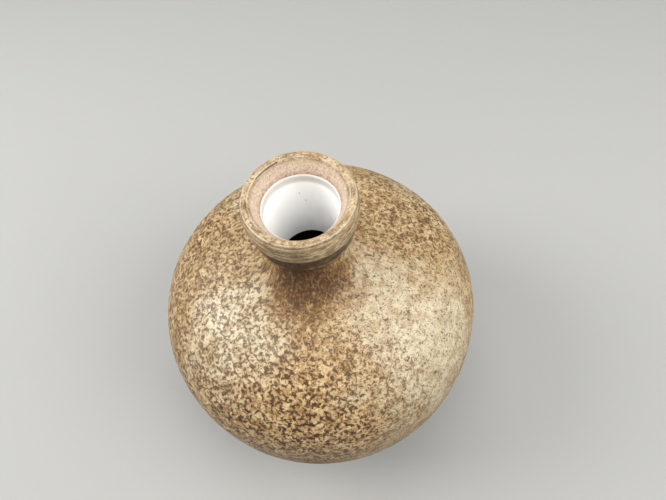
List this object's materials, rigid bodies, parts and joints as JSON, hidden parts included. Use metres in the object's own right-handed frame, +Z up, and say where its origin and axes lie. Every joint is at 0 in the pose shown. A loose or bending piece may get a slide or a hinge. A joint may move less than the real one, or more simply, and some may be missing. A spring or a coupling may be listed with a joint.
{
  "type": "pottery vase",
  "caption": "Round-bodied stoneware vase with a closed-in shoulder, a short flaring neck, a ringed and rolled rim, a mottled glaze and a white glazed mouth.",
  "frame": {"origin": "centre of the foot ring's bottom face, on the surface that the vase stands on", "axes": "+Z up along the wheel axis, out of the mouth; X and Y are any two level directions, as the vase is round"},
  "size_m": [0.16, 0.16, 0.1634],
  "materials": {
    "clay": "bare fired stoneware, dry and slightly gritty",
    "bare_foot": "bare fired stoneware, turned and wiped",
    "mottled_glaze": "satin, cream and buff broken by brown mottling",
    "blush_glaze": "satin, thin pinkish buff",
    "white_glaze": "gloss, opaque white"
  },
  "bodies": {
    "root": {"foot_ring": "bare_foot", "clay_body": "clay", "clay_neck": "clay", "neck_ring": "clay", "rolled_rim": "clay", "outer_glaze": "mottled_glaze", "lip_glaze": "blush_glaze", "liner_glaze": "white_glaze"}
  },
  "joints": []
}
